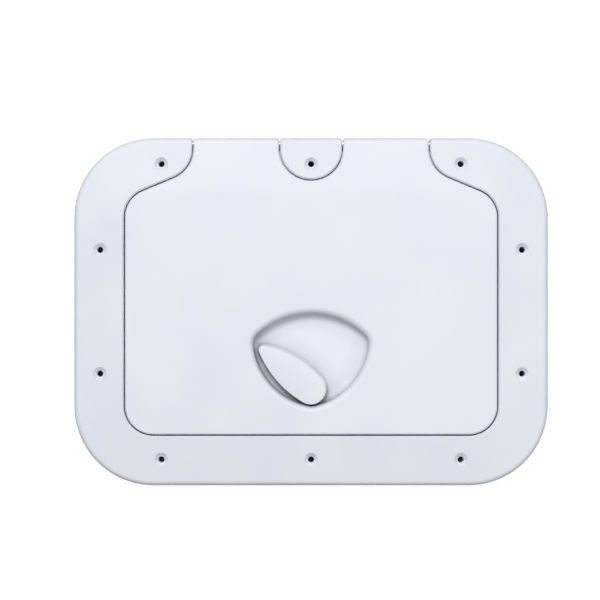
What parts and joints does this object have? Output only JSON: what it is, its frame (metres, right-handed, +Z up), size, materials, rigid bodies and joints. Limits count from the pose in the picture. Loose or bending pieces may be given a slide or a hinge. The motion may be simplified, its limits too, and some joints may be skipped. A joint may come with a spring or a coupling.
{
  "type": "access hatch",
  "caption": "White plastic deck access hatch: a flush lid on hinge pins in a screw-down frame with a rain gutter, held shut by a turn lever in a finger dish.",
  "frame": {"origin": "centre of the hatch on the deck plane, under the flange, in the middle of the corner screws", "axes": "+X to the right along the hinge, +Y towards the hinge side, +Z up out of the deck"},
  "size_m": [0.375, 0.275, 0.038],
  "materials": {
    "white_plastic": "satin white moulded plastic",
    "stainless": "plain stainless steel",
    "seal_rubber": "soft black sponge rubber",
    "ring_rubber": "smooth black rubber",
    "natural_plastic": "natural nylon",
    "black_plastic": "matt black moulded plastic"
  },
  "bodies": {
    "frame": {"frame": "white_plastic", "hinge_pin_outer_left": "stainless", "hinge_pin_inner_left": "stainless", "hinge_pin_inner_right": "stainless", "hinge_pin_outer_right": "stainless"},
    "lid": {"lid": "white_plastic", "lid_seal": "seal_rubber"},
    "lever": {"turn_lever": "white_plastic", "lever_seal_ring": "ring_rubber", "thrust_washer": "natural_plastic", "latch_cam": "black_plastic", "cam_washer": "stainless", "cam_screw": "stainless"}
  },
  "joints": [
    {"name": "lid_hinge", "type": "hinge", "parent": "frame", "child": "lid", "pos_m": [0, 0.133, 0.00534], "axis": [-1, 0, 0], "range_deg": [0, 175]},
    {"name": "lever_turn", "type": "hinge", "parent": "lid", "child": "lever", "pos_m": [0, -0.0603, 0], "axis": [0, 0, -1], "range_deg": [0, 100]}
  ]
}
